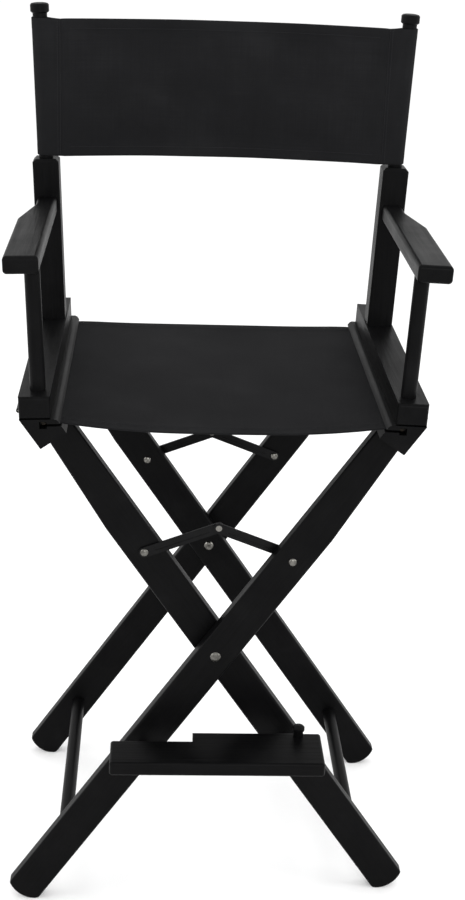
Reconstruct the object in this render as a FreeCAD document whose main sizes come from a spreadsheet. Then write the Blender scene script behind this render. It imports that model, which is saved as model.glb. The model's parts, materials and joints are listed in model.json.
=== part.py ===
import FreeCAD, Part
import math
import os
import re

import Sketcher

# Bar-height folding director chair: two X frames of flat legs carry two seat
# rails, an arm frame is hinged on each rail, and canvas spans both for the
# seat and the back.  The front faces -Y, X runs across and Z is up.  Pieces
# are placed from the middle of the leg frames; when they are written, all move
# back by half of what the footrest stands out further than the rail ends, so
# that the origin lies on the floor under the middle of the whole outline.

# name, size in millimetres or degrees, what it measures
SIZES = [
    ("frame_angle", 34.5, "tilt of each leg from upright when open"),
    ("arm_lean", 2.0, "outward lean of the arm frames when open"),
    ("pivot_height", 379.0, "height of the leg crossing above the floor"),
    ("leg_reach", 413.0, "leg crossing to the outer corner of the seat rail"),
    ("leg_width", 47.0, "width of a leg board"),
    ("leg_top_width", 38.0, "width of a leg where it meets the seat rail"),
    ("leg_taper_length", 150.0, "length of the narrowing at the leg top"),
    ("leg_thickness", 20.0, "thickness of a leg board"),
    ("leg_gap", 5.6, "washer gap between two crossing legs, room for the brace bars"),
    ("crossing_setback", 49.0, "rail end to the middle of a leg crossing"),
    ("foot_arc", 38.0, "radius of the rounded leg end"),
    ("foot_round", 9.0, "outer corner rounding at the feet"),
    ("heel_round", 5.0, "inner corner rounding at the feet"),
    ("foot_saw", 2.0, "depth of the level saw cut under the feet"),
    ("leg_round", 3.5, "rounding along the leg edges"),
    ("rail_length", 440.0, "length of seat rails and arm base rails"),
    ("rail_drop", 45.0, "seat rail height along its outer face"),
    ("rail_round", 6.0, "rounding of the seat rail's inner top edge"),
    ("slot_depth", 12.0, "canvas slot, inner face to the stick chamber"),
    ("slot_width", 3.0, "canvas slot opening"),
    ("slot_cover", 6.0, "wood above the canvas slot"),
    ("chamber_size", 9.0, "side of the stick chamber"),
    ("base_width", 38.0, "width of an arm base rail"),
    ("base_height", 28.0, "height of an arm base rail"),
    ("base_round", 4.0, "rounding of the arm base rail's ends"),
    ("seat_gap", 0.2, "play between seat rail and arm base rail"),
    ("armrest_top", 199.0, "armrest top above the hinge line"),
    ("armrest_thickness", 22.0, "armrest board thickness"),
    ("armrest_width", 42.0, "armrest board width"),
    ("armrest_overhang", 10.0, "armrest past the outer face of the base rail"),
    ("armrest_setback", 3.0, "rail end to the armrest front"),
    ("armrest_clip_front", 14.0, "where the clipped outer corner starts"),
    ("armrest_clip_back", 66.0, "where the clipped outer corner ends"),
    ("armrest_neck", 6.0, "outer edge of the armrest at the back post"),
    ("armrest_round", 5.0, "bullnose radius on the armrest"),
    ("armrest_corner", 3.0, "rounding of the armrest's upright corners"),
    ("spindle_across", 22.0, "front spindle centre inboard of the outer face"),
    ("spindle_setback", 29.0, "rail end to the front spindle"),
    ("spindle_diameter", 19.0, "front spindle diameter"),
    ("tenon_depth", 14.0, "depth of the round tenons"),
    ("post_width", 35.0, "width of the square lower back post"),
    ("post_across", 19.0, "back post centre inboard of the outer face"),
    ("post_setback", 113.0, "rail's rear end to the post's front face"),
    ("post_shoulder", 249.0, "top of the square post above the hinge line"),
    ("post_chamfer", 4.0, "chamfer round the top of the square post"),
    ("post_round", 2.5, "rounding of the square post's edges"),
    ("dowel_diameter", 19.0, "turned upper part of the back post"),
    ("dowel_top", 437.0, "underside of the finial above the hinge line"),
    ("finial_diameter", 24.5, "finial cap diameter"),
    ("finial_height", 12.3, "finial cap height"),
    ("finial_spigot", 8.0, "finial spigot diameter"),
    ("spigot_length", 13.0, "finial spigot length"),
    ("stretcher_diameter", 19.0, "side stretcher diameter"),
    ("stretcher_drop", 348.0, "leg crossing to side stretcher along the leg"),
    ("bolt_diameter", 8.0, "pivot bolt shank"),
    ("bolt_head", 14.0, "pivot bolt head diameter"),
    ("head_height", 3.2, "height of domed heads"),
    ("running_fit", 0.05, "radial clearance of everything that turns"),
    ("wood_fit", 0.1, "radial clearance of glued dowels and screws"),
    ("nut_diameter", 15.0, "pivot nut diameter"),
    ("nut_height", 8.0, "pivot nut height"),
    ("washer_diameter", 24.0, "pivot washer diameter"),
    ("hinge_barrel", 6.0, "hinge barrel diameter"),
    ("hinge_offset", 3.2, "hinge axis outboard of the rail corner"),
    ("hinge_pin", 3.0, "hinge pin diameter"),
    ("hinge_length", 50.0, "length of one butt hinge"),
    ("hinge_leaf", 22.0, "height of a hinge leaf"),
    ("hinge_plate", 1.5, "thickness of a hinge leaf"),
    ("hinge_setback", 58.0, "rail end to the middle of a hinge"),
    ("hinge_tab", 3.3, "clear band between leaf and barrel line"),
    ("knuckle_gap", 0.2, "play between hinge knuckles"),
    ("screw_diameter", 3.5, "hinge screw shank"),
    ("screw_length", 16.0, "hinge screw shank length"),
    ("screw_head", 7.0, "hinge screw head diameter"),
    ("screw_dome", 1.8, "hinge screw head height"),
    ("end_play", 0.5, "empty depth left under pins, tenons and screws"),
    ("screw_spread", 16.0, "hinge middle to screw"),
    ("brace_arm", 166.0, "leg crossing to brace rivet along the leg"),
    ("brace_rise", 20.98, "slope of the brace bars when open"),
    ("brace_width", 14.0, "brace bar width"),
    ("brace_thickness", 2.0, "brace bar thickness"),
    ("brace_gap", 0.6, "play beside a brace bar"),
    ("bar_gap", 0.25, "play between the two brace bars"),
    ("bar_groove", 4.0, "width of the pressed groove in a brace bar"),
    ("rivet_diameter", 5.0, "brace rivet shank"),
    ("rivet_head", 10.5, "brace rivet head diameter"),
    ("middle_head", 8.0, "middle rivet head diameter"),
    ("middle_dome", 0.35, "middle rivet head height"),
    ("footrest_height", 269.0, "top of the footrest above the floor"),
    ("footrest_thickness", 19.0, "footrest board thickness"),
    ("footrest_left", 134.0, "footrest left end from the middle"),
    ("footrest_right", 142.0, "footrest right end from the middle"),
    ("footrest_depth", 76.0, "footrest depth at its deep end"),
    ("footrest_clear", 4.25, "footrest rear edge in front of the outer leg"),
    ("footrest_step", 21.0, "step in the footrest's rear edge"),
    ("footrest_step_at", 27.0, "middle of the chair to the step"),
    ("footrest_corner", 4.0, "rounding of the footrest's corners"),
    ("footrest_round", 3.5, "rounding of the footrest's front edges"),
    ("footrest_pivot_across", 96.0, "footrest pivot from the middle"),
    ("footrest_pivot_height", 238.0, "footrest pivot above the floor"),
    ("hanger_width", 22.0, "footrest hanger plate width"),
    ("hanger_plate", 3.5, "footrest hanger plate thickness"),
    ("hanger_rise", 28.0, "footrest hanger above its pivot"),
    ("hanger_dome", 0.6, "head height of the hanger screws"),
    ("footrest_bolt", 6.0, "footrest pivot bolt shank"),
    ("footrest_bolt_head", 10.0, "footrest pivot bolt head diameter"),
    ("peg_across", 92.0, "footrest peg from the middle"),
    ("peg_diameter", 12.0, "footrest peg diameter"),
    ("peg_reach", 46.0, "footrest peg in front of the outer leg"),
    ("knob_across", 112.0, "footrest knob from the middle"),
    ("knob_rise", 16.0, "footrest knob above the board"),
    ("knob_diameter", 16.0, "footrest knob cap diameter"),
    ("knob_spigot", 12.0, "footrest knob spigot length"),
    ("canvas_thickness", 1.2, "seat and back cloth thickness"),
    ("seat_inset", 8.0, "rail end to the hem of the seat cloth"),
    ("seat_sag", 11.0, "dip of the seat cloth in its middle"),
    ("stick_diameter", 6.4, "hem stick diameter"),
    ("back_bottom", 252.0, "back cloth lower edge above the hinge line"),
    ("back_top", 431.0, "back cloth upper edge above the hinge line"),
    ("sleeve_play", 0.4, "play between sleeve and dowel"),
]

# name, how it follows from the sizes above, what it measures
FOLLOWING = [
    ("crossing_depth", "=rail_length / 2 - crossing_setback",
     "middle of the chair to the middle of a leg crossing"),
    ("armrest_front", "=rail_length / 2 - armrest_setback",
     "middle of the chair to the armrest front"),
    ("spindle_front", "=rail_length / 2 - spindle_setback",
     "middle of the chair to the front spindle"),
    ("post_front", "=rail_length / 2 - post_setback",
     "middle of the chair to the post's front face"),
    ("post_tenon", "=post_width * 4 / 7", "side of the square tenon under the post"),
    ("hinge_station", "=rail_length / 2 - hinge_setback",
     "middle of the chair to the middle of a hinge"),
    ("brace_bar", "=brace_arm * sin(frame_angle * 1 deg) / cos(brace_rise * 1 deg)",
     "brace bar length between rivets"),
    ("hanger_spread", "=hanger_width * 0.22", "hanger middle to each of its screws"),
    ("seat_depth", "=rail_length - 2 * seat_inset",
     "seat cloth from front hem to rear hem"),
]

doc = FreeCAD.newDocument("director_chair")
sheet = doc.addObject("Spreadsheet::Sheet", "Sizes")
for row, (alias, size, meaning) in enumerate(SIZES + FOLLOWING, start=1):
    sheet.set(f"A{row}", alias)
    sheet.set(f"B{row}", str(size))
    sheet.set(f"C{row}", meaning)
    sheet.setAlias(f"B{row}", alias)
doc.recompute()

ALIASES = "|".join(alias for alias, _, _ in SIZES + FOLLOWING)
WORDS = re.compile(rf"\b({ALIASES})\b")


def formula(text):
    """The expression with every size name pointed at the sheet."""
    return WORDS.sub(r"Sizes.\1", text)


def value(text):
    """What an expression comes to with the sheet's present sizes."""
    return float(sheet.evalExpression(formula(text)))


def plane_of(body, role):
    return next(f for f in body.Origin.OriginFeatures if f.Role == role)


def sketch_on(body, name, role, offset="0"):
    """Sketch on one of the body's own origin planes, moved along its normal."""
    sketch = body.newObject("Sketcher::SketchObject", name)
    sketch.AttachmentSupport = [(plane_of(body, role), "")]
    sketch.MapMode = "FlatFace"
    sketch.setExpression("AttachmentOffset.Base.z", formula(offset))
    return sketch


def place_point(sketch, geometry, position, point):
    for kind, text in zip(("DistanceX", "DistanceY"), point):
        index = sketch.addConstraint(
            Sketcher.Constraint(kind, geometry, position, value(text)))
        sketch.setExpression(f"Constraints[{index}]", formula(text))


def arc_below(start, end, radius):
    """Arc that hangs below the level chord from start to end."""
    half = (end - start).Length / 2
    centre = (start + end) / 2 + FreeCAD.Vector(0, math.sqrt(radius ** 2 - half ** 2), 0)
    opening = math.asin(half / radius)
    circle = Part.Circle(centre, FreeCAD.Vector(0, 0, 1), radius)
    return Part.ArcOfCircle(circle, 1.5 * math.pi - opening, 1.5 * math.pi + opening)


def add_outline(sketch, corners, first_radius=None):
    """Closed outline with both coordinates of each corner bound.

    Its sides are straight, except the first where a radius is given."""
    spots = [FreeCAD.Vector(value(x), value(y), 0) for x, y in corners]
    first = sketch.GeometryCount
    count = len(corners)
    for index in range(count):
        start, end = spots[index], spots[(index + 1) % count]
        if index == 0 and first_radius:
            side = arc_below(start, end, value(first_radius))
        else:
            side = Part.LineSegment(start, end)
        sketch.addGeometry(side, False)
    for index in range(count):
        following = first + (index + 1) % count
        sketch.addConstraint(
            Sketcher.Constraint("Coincident", first + index, 2, following, 1))
    for index, corner in enumerate(corners):
        place_point(sketch, first + index, 1, corner)
    if first_radius:
        index = sketch.addConstraint(
            Sketcher.Constraint("Radius", first, value(first_radius)))
        sketch.setExpression(f"Constraints[{index}]", formula(first_radius))


def add_circle(sketch, centre, diameter):
    spot = FreeCAD.Vector(value(centre[0]), value(centre[1]), 0)
    index = sketch.addGeometry(
        Part.Circle(spot, FreeCAD.Vector(0, 0, 1), value(diameter) / 2), False)
    place_point(sketch, index, 3, centre)
    bound = sketch.addConstraint(
        Sketcher.Constraint("Diameter", index, value(diameter)))
    sketch.setExpression(f"Constraints[{bound}]", formula(diameter))


def new_body(name):
    body = doc.addObject("PartDesign::Body", name)
    body.Label = name
    return body


def extrude(body, name, sketch, length, backwards=False):
    pad = body.newObject("PartDesign::Pad", name)
    pad.Profile = sketch
    pad.Reversed = backwards
    pad.setExpression("Length", formula(length))
    doc.recompute()
    return pad


def cut(body, name, sketch, depth, backwards=False):
    """Pocket that must take material away."""
    before = body.Shape.Volume
    pocket = body.newObject("PartDesign::Pocket", name)
    pocket.Profile = sketch
    pocket.Reversed = backwards
    pocket.setExpression("Length", formula(depth))
    doc.recompute()
    if not body.Shape.Volume < before:
        raise RuntimeError(f"{body.Label}: {name} cut nothing")
    return pocket


def dress(body, kind, size, chosen):
    """Fillet or chamfer on the edges of the tip that `chosen` accepts."""
    tip = body.Tip
    names = [f"Edge{number}" for number, edge in enumerate(tip.Shape.Edges, start=1)
             if chosen(edge)]
    if not names:
        raise RuntimeError(f"{body.Label}: no edges to {kind.lower()}")
    feature = body.newObject(f"PartDesign::{kind}", f"{body.Label}_{kind.lower()}")
    feature.Base = (tip, names)
    bound = "Radius" if kind == "Fillet" else "Size"
    feature.setExpression(bound, formula(size))
    doc.recompute()


def middle(edge):
    return edge.valueAt((edge.FirstParameter + edge.LastParameter) / 2)


def is_straight(edge):
    return isinstance(edge.Curve, (Part.Line, Part.LineSegment))


def runs_along(edge, axis):
    """True for a straight edge parallel to the axis."""
    if not is_straight(edge):
        return False
    ends = [vertex.Point for vertex in edge.Vertexes]
    direction = (ends[1] - ends[0]).normalize()
    return abs(abs(direction.dot(axis)) - 1) < 1e-6


X_AXIS = FreeCAD.Vector(1, 0, 0)
Y_AXIS = FreeCAD.Vector(0, 1, 0)
Z_AXIS = FreeCAD.Vector(0, 0, 1)
# turns a piece made along +Z so that it points along -Y
FORWARDS = FreeCAD.Rotation(X_AXIS, 90)


def turned(name, profile):
    """Round piece about Z from (radius, height) corners."""
    body = new_body(name)
    sketch = sketch_on(body, f"{name}_profile", "XZ_Plane")
    add_outline(sketch, profile)
    revolution = body.newObject("PartDesign::Revolution", f"{name}_turning")
    revolution.Profile = sketch
    revolution.ReferenceAxis = (sketch, ["V_Axis"])
    revolution.Angle = 360
    doc.recompute()
    return body


def rod(name, diameter, length, chamfer="1"):
    """Plain round rod from the origin upwards with chamfered ends."""
    radius = f"({diameter}) / 2"
    return turned(name, [
        ("0", "0"), (f"{radius} - {chamfer}", "0"), (radius, chamfer),
        (radius, f"{length} - {chamfer}"), (f"{radius} - {chamfer}", length),
        ("0", length)])


def ring(name, outer, inner, height):
    return turned(name, [
        (f"({inner}) / 2", "0"), (f"({outer}) / 2", "0"),
        (f"({outer}) / 2", height), (f"({inner}) / 2", height)])


def domed_pin(name, shank, length, head, head_height):
    """Pin along -Z under a domed head."""
    return turned(name, [
        ("0", head_height), (f"({head}) * 0.24", f"({head_height}) * 0.94"),
        (f"({head}) * 0.4", f"({head_height}) * 0.7"),
        (f"({head}) / 2", f"({head_height}) * 0.22"), (f"({head}) / 2", "0"),
        (f"({shank}) / 2", "0"), (f"({shank}) / 2", f"-({length})"), ("0", f"-({length})")])


def mirrored(name, source, normal):
    """The same piece on the other side of the chair."""
    copy = doc.addObject("Part::Mirroring", name)
    copy.Label = name
    copy.Source = source
    copy.Normal = normal
    doc.recompute()
    return copy


def grouped(name, members):
    """Several equal solids that count as one node."""
    group = doc.addObject("Part::Compound", name)
    group.Label = name
    group.Links = members
    doc.recompute()
    return group


# ---------------------------------------------------------------- frames
# The hinge corner is where the outer faces of seat rail and base rail meet.
angle = math.radians(value("frame_angle"))
edge_offset = value("leg_top_width - leg_width / 2")
reach = value("leg_reach")
corner_across = reach * math.sin(angle) + edge_offset * math.cos(angle)
corner_height = (value("pivot_height") + reach * math.cos(angle)
                 - edge_offset * math.sin(angle))


def leg_placement(side):
    """Frame of one leg set: origin at the crossing, Z up along the leg."""
    turn = FreeCAD.Rotation(Y_AXIS, side * value("frame_angle"))
    return FreeCAD.Placement(FreeCAD.Vector(0, 0, value("pivot_height")), turn)


ARM_LEFT = FreeCAD.Placement(
    FreeCAD.Vector(-corner_across, 0, corner_height),
    FreeCAD.Rotation(Y_AXIS, -value("arm_lean")))
RAIL_LEFT = FreeCAD.Placement(
    FreeCAD.Vector(-corner_across, 0, corner_height),
    FreeCAD.Rotation(Y_AXIS, -value("frame_angle")))

nodes = []


def keep(piece):
    nodes.append(piece)
    return piece


def both_sides(piece, stem):
    """Keeps the left piece and its mirror image on the right."""
    keep(piece)
    return keep(mirrored(f"{stem}_right", piece, X_AXIS))


# ---------------------------------------------------------------- legs
OUTER_FACE = "crossing_depth + leg_gap / 2 + leg_thickness"
INNER_FACE = "crossing_depth - leg_gap / 2"
outer_face = value(OUTER_FACE)
inner_face = value(INNER_FACE)

# crossing to the corners of the foot, so that the end arc dips under the floor
FOOT_LENGTH = ("sqrt(foot_arc ^ 2 - (leg_width / 2) ^ 2)"
               " + (pivot_height - foot_arc + foot_saw) / cos(frame_angle)")
STRETCHER_HOLE = "stretcher_diameter + 2 * wood_fit"
bolt_rise = value("footrest_pivot_height - pivot_height")
bolt_across = value("footrest_pivot_across")
# the footrest bolt and peg in the frames of the two leg sets
bolt_local = (bolt_across * math.cos(angle) + bolt_rise * math.sin(angle),
              -bolt_across * math.sin(angle) + bolt_rise * math.cos(angle))
peg_height = value("footrest_height - footrest_thickness - peg_diameter / 2")
peg_rise = peg_height - value("pivot_height")
peg_across = -value("peg_across")
peg_local = (peg_across * math.cos(angle) - peg_rise * math.sin(angle),
             peg_across * math.sin(angle) + peg_rise * math.cos(angle))


def leg(name, side, front_face, extra=None):
    """Leg board with its top on the side named by `side` (-1 left, 1 right).

    The board lies in the XZ plane with its front face at -front_face."""
    body = new_body(name)
    outline = sketch_on(body, f"{name}_outline", "XZ_Plane", front_face)
    left, right = "-leg_width / 2", "leg_width / 2"
    foot, crown = f"-({FOOT_LENGTH})", "leg_reach - rail_drop"
    taper = "leg_reach - rail_drop - leg_taper_length"
    top_edge = f"{side} * (leg_top_width - leg_width / 2)"
    if side > 0:
        upper = [(right, taper), (top_edge, crown), (left, crown)]
    else:
        upper = [(right, crown), (top_edge, crown), (left, taper)]
    add_outline(outline, [(left, foot), (right, foot)] + upper, "foot_arc")
    extrude(body, f"{name}_board", outline, "leg_thickness", True)

    # both corners of the foot are rounded, the long edges too, and the foot is
    # sawn level with the floor
    foot_line = value(foot)
    for corner, size in ((side, "foot_round"), (-side, "heel_round")):
        across = corner * value("leg_width / 2")
        dress(body, "Fillet", size,
              lambda edge: runs_along(edge, Y_AXIS)
              and abs(middle(edge).z - foot_line) < 1e-3
              and abs(middle(edge).x - across) < 1e-3)
    dress(body, "Fillet", "leg_round",
          lambda edge: not runs_along(edge, Y_AXIS) and middle(edge).z < reach * 0.85)
    floor = sketch_on(body, f"{name}_floor", "XZ_Plane", front_face)
    slope = f"{side} * tan(frame_angle)"
    drop = "pivot_height / cos(frame_angle)"
    wide = "leg_width * 2"
    add_outline(floor, [
        (f"-{wide}", f"-{drop} - {slope} * {wide}"),
        (wide, f"-{drop} + {slope} * {wide}"),
        (wide, f"-{drop} - leg_width * 4"),
        (f"-{wide}", f"-{drop} - leg_width * 4")])
    cut(body, f"{name}_floor_cut", floor, "leg_thickness")

    holes = sketch_on(body, f"{name}_holes", "XZ_Plane", front_face)
    add_circle(holes, ("0", "0"), "bolt_diameter + 2 * running_fit")
    add_circle(holes, ("0", "brace_arm"), "rivet_diameter + 2 * running_fit")
    if extra:
        add_circle(holes, (repr(extra[0]), repr(extra[1])), extra[2])
    cut(body, f"{name}_drilling", holes, "leg_thickness")
    return body


def stretcher_socket(body, name, face, behind):
    """Blind hole for the side stretcher in a leg's hidden face."""
    socket = sketch_on(body, f"{name}_socket", "XZ_Plane", face)
    add_circle(socket, ("0", "-stretcher_drop"), STRETCHER_HOLE)
    cut(body, f"{name}_socket_cut", socket, "tenon_depth", behind)


inner_front = leg("inner_front_leg", -1, INNER_FACE,
                  (bolt_local[0], bolt_local[1], "footrest_bolt + 2 * running_fit"))
stretcher_socket(inner_front, "inner_front_leg", f"{INNER_FACE} - leg_thickness", True)
inner_front.Placement = leg_placement(-1)
keep(inner_front)
inner_rear = leg("inner_rear_blank", -1, INNER_FACE)
stretcher_socket(inner_rear, "inner_rear_leg", f"{INNER_FACE} - leg_thickness", True)
inner_rear.Placement = leg_placement(-1)
keep(mirrored("inner_rear_leg", inner_rear, Y_AXIS))
outer_front = leg("outer_front_leg", 1, OUTER_FACE,
                  (peg_local[0], peg_local[1], "peg_diameter + 2 * wood_fit"))
stretcher_socket(outer_front, "outer_front_leg", f"{OUTER_FACE} - leg_thickness", True)
outer_front.Placement = leg_placement(1)
keep(outer_front)
outer_rear = leg("outer_rear_blank", 1, OUTER_FACE)
stretcher_socket(outer_rear, "outer_rear_leg", f"{OUTER_FACE} - leg_thickness", True)
outer_rear.Placement = leg_placement(1)
keep(mirrored("outer_rear_leg", outer_rear, Y_AXIS))


def stretcher(name, side, face):
    """Round stretcher between the front and rear leg of one set."""
    half = f"({face} - leg_thickness + tenon_depth - end_play)"
    body = rod(name, "stretcher_diameter", f"2 * {half}")
    spot = leg_placement(side).multVec(FreeCAD.Vector(0, 0, -value("stretcher_drop")))
    spot.y = value(half)
    body.Placement = FreeCAD.Placement(spot, FORWARDS)
    return keep(body)


stretcher("inner_side_stretcher", -1, INNER_FACE)
stretcher("outer_side_stretcher", 1, OUTER_FACE)

# ---------------------------------------------------------------- seat rails
# X runs inboard across the rail, Z up along the leg, the outer face is X = 0.
BEVEL = "(frame_angle - arm_lean)"


def off_bevel(across, below):
    """Corner given along the bevelled top and square below it."""
    return (f"({across}) * cos{BEVEL} - ({below}) * sin{BEVEL}",
            f"-({across}) * sin{BEVEL} - ({below}) * cos{BEVEL}")


INNER_TOP = f"leg_top_width / cos{BEVEL}"
# distance from the inner top corner back along the slot's own direction
SLOT_START = f"{INNER_TOP} + 2 * slot_cover"
SLOT_END = f"{INNER_TOP} - slot_depth"

seat_rail = new_body("seat_rail_left")
section = sketch_on(seat_rail, "seat_rail_section", "XZ_Plane", "rail_length / 2")
add_outline(section, [
    (f"seat_gap * -sin{BEVEL}", f"-seat_gap * cos{BEVEL}"),
    ("leg_top_width", f"-leg_top_width * tan{BEVEL} - seat_gap"),
    ("leg_top_width", "-rail_drop"),
    ("0", "-rail_drop"),
    ("0", "-seat_gap * 2")])
extrude(seat_rail, "seat_rail_bar", section, "rail_length", True)
rail_inner = value("leg_top_width")
rail_corner = value(f"-leg_top_width * tan{BEVEL} - seat_gap")
dress(seat_rail, "Fillet", "rail_round",
      lambda edge: runs_along(edge, Y_AXIS)
      and abs(middle(edge).x - rail_inner) < 1e-3
      and abs(middle(edge).z - rail_corner) < 1e-3)
slot = sketch_on(seat_rail, "seat_rail_slot", "XZ_Plane", "rail_length / 2 + 1")
TOP = "slot_cover"
LOW = "slot_cover + slot_width"
add_outline(slot, [
    off_bevel(SLOT_START, TOP),
    off_bevel(SLOT_START, LOW),
    off_bevel(SLOT_END, LOW),
    off_bevel(SLOT_END, f"{TOP} + (slot_width + chamber_size) / 2"),
    off_bevel(f"{SLOT_END} - chamber_size", f"{TOP} + (slot_width + chamber_size) / 2"),
    off_bevel(f"{SLOT_END} - chamber_size", f"{TOP} + (slot_width - chamber_size) / 2"),
    off_bevel(SLOT_END, f"{TOP} + (slot_width - chamber_size) / 2"),
    off_bevel(SLOT_END, TOP)])
cut(seat_rail, "seat_rail_slot_cut", slot, "rail_length + 2")


def screw_holes(body, stem, height, depth, inboard):
    """Four screw holes in the outer face, two for each hinge."""
    pattern = sketch_on(body, f"{stem}_screw_holes", "YZ_Plane")
    for end in ("-", ""):
        for way in ("-", "+"):
            add_circle(pattern, (f"{end}hinge_station {way} screw_spread", height),
                       "screw_diameter + 2 * wood_fit")
    cut(body, f"{stem}_screw_drilling", pattern, depth, inboard)


SCREW_RISE = "(hinge_tab + hinge_leaf) / 2 + 1"
screw_holes(seat_rail, "seat_rail", f"-({SCREW_RISE})", "screw_length + end_play", True)
seat_rail.Placement = RAIL_LEFT
both_sides(seat_rail, "seat_rail")

# ---------------------------------------------------------------- arm frames
# X runs inboard from the outer face, Z up from the hinge line.
base = new_body("arm_base_rail_left")
plan = sketch_on(base, "arm_base_plan", "XY_Plane")
add_outline(plan, [
    ("0", "-rail_length / 2"), ("base_width", "-rail_length / 2"),
    ("base_width", "rail_length / 2"), ("0", "rail_length / 2")])
extrude(base, "arm_base_bar", plan, "base_height")
dress(base, "Fillet", "base_round",
      lambda edge: runs_along(edge, Z_AXIS) or runs_along(edge, X_AXIS))
spindle_hole = sketch_on(base, "arm_base_spindle_hole", "XY_Plane", "base_height")
add_circle(spindle_hole, ("spindle_across", "-spindle_front"),
           "spindle_diameter + 2 * wood_fit")
cut(base, "arm_base_spindle_socket", spindle_hole, "tenon_depth")
mortise = sketch_on(base, "arm_base_mortise", "XY_Plane", "base_height")
LEFT_CHEEK = f"post_across - post_tenon / 2 - wood_fit"
RIGHT_CHEEK = f"post_across + post_tenon / 2 + wood_fit"
FRONT_CHEEK = f"post_front + post_width / 2 - post_tenon / 2 - wood_fit"
BACK_CHEEK = f"post_front + post_width / 2 + post_tenon / 2 + wood_fit"
add_outline(mortise, [
    (LEFT_CHEEK, FRONT_CHEEK), (RIGHT_CHEEK, FRONT_CHEEK),
    (RIGHT_CHEEK, BACK_CHEEK), (LEFT_CHEEK, BACK_CHEEK)])
cut(base, "arm_base_mortise_cut", mortise, "tenon_depth + end_play")
screw_holes(base, "arm_base", SCREW_RISE, "screw_length + end_play", True)
base.Placement = ARM_LEFT
both_sides(base, "arm_base_rail")

spindle = rod("arm_spindle_left", "spindle_diameter",
              "armrest_top - armrest_thickness - base_height"
              " + 2 * (tenon_depth - end_play)")
spindle.Placement = ARM_LEFT.multiply(FreeCAD.Placement(
    FreeCAD.Vector(value("spindle_across"), -value("spindle_front"),
                   value("base_height - tenon_depth + end_play")), FreeCAD.Rotation()))
both_sides(spindle, "arm_spindle")

armrest = new_body("armrest_left")
top = sketch_on(armrest, "armrest_plan", "XY_Plane", "armrest_top - armrest_thickness")
ARMREST_BACK = "post_front - wood_fit"
add_outline(top, [
    ("-armrest_overhang", "-armrest_front"),
    ("armrest_width - armrest_overhang", "-armrest_front"),
    ("armrest_width - armrest_overhang", ARMREST_BACK),
    ("armrest_neck", ARMREST_BACK),
    ("armrest_neck", "armrest_clip_back"),
    ("-armrest_overhang", "-armrest_clip_front")])
extrude(armrest, "armrest_board", top, "armrest_thickness")
armrest_back = value(ARMREST_BACK)
dress(armrest, "Fillet", "armrest_corner",
      lambda edge: runs_along(edge, Z_AXIS) and middle(edge).y < armrest_back - 1)
under = value("armrest_top - armrest_thickness")
over = value("armrest_top")
dress(armrest, "Fillet", "armrest_round",
      lambda edge: middle(edge).y < armrest_back - 1
      and (abs(middle(edge).z - over) < 1e-3 or abs(middle(edge).z - under) < 1e-3))
socket = sketch_on(armrest, "armrest_socket", "XY_Plane", "armrest_top - armrest_thickness")
add_circle(socket, ("spindle_across", "-spindle_front"),
           "spindle_diameter + 2 * wood_fit")
cut(armrest, "armrest_socket_cut", socket, "tenon_depth", True)
armrest.Placement = ARM_LEFT
both_sides(armrest, "armrest")

post = new_body("back_post_left")
square = sketch_on(post, "back_post_square", "XY_Plane", "base_height")
HALF = "post_width / 2"
MID = "post_front + post_width / 2"
add_outline(square, [
    (f"post_across - {HALF}", "post_front"), (f"post_across + {HALF}", "post_front"),
    (f"post_across + {HALF}", "post_front + post_width"),
    (f"post_across - {HALF}", "post_front + post_width")])
extrude(post, "back_post_bar", square, "post_shoulder - base_height")
shoulder = value("post_shoulder")
dress(post, "Chamfer", "post_chamfer", lambda edge: abs(middle(edge).z - shoulder) < 1e-3)
dress(post, "Fillet", "post_round", lambda edge: runs_along(edge, Z_AXIS))
tenon = sketch_on(post, "back_post_tenon", "XY_Plane", "base_height - tenon_depth")
add_outline(tenon, [
    (f"post_across - post_tenon / 2", f"{MID} - post_tenon / 2"),
    (f"post_across + post_tenon / 2", f"{MID} - post_tenon / 2"),
    (f"post_across + post_tenon / 2", f"{MID} + post_tenon / 2"),
    (f"post_across - post_tenon / 2", f"{MID} + post_tenon / 2")])
extrude(post, "back_post_tenon_bar", tenon, "tenon_depth + 1")
round_top = sketch_on(post, "back_post_round", "XY_Plane", "post_shoulder - 1")
add_circle(round_top, ("post_across", MID), "dowel_diameter")
extrude(post, "back_post_dowel", round_top, "dowel_top - post_shoulder + 1")
pilot = sketch_on(post, "back_post_pilot", "XY_Plane", "dowel_top")
add_circle(pilot, ("post_across", MID), "finial_spigot + 2 * wood_fit")
cut(post, "back_post_pilot_cut", pilot, "spigot_length + 1")
post.Placement = ARM_LEFT
both_sides(post, "back_post")

finial = turned("finial_left", [
    ("0", "-spigot_length"), ("finial_spigot / 2", "-spigot_length"),
    ("finial_spigot / 2", "0"), ("finial_diameter / 2 - 1.5", "0"),
    ("finial_diameter / 2", "1.5"), ("finial_diameter / 2", "finial_height - 2.5"),
    ("finial_diameter / 2 - 1.5", "finial_height - 0.7"),
    ("finial_diameter / 2 - 4.5", "finial_height"), ("0", "finial_height")])
finial.Placement = ARM_LEFT.multiply(FreeCAD.Placement(
    FreeCAD.Vector(value("post_across"), value(MID), value("dowel_top")),
    FreeCAD.Rotation()))
both_sides(finial, "finial")

# ---------------------------------------------------------------- rail hinges
# Two butt hinges a side; the upper leaf carries the two end knuckles.
KNUCKLE_SPLIT = "hinge_length / 6"
BARREL_HOLE = "hinge_pin + 2 * running_fit"


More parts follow.
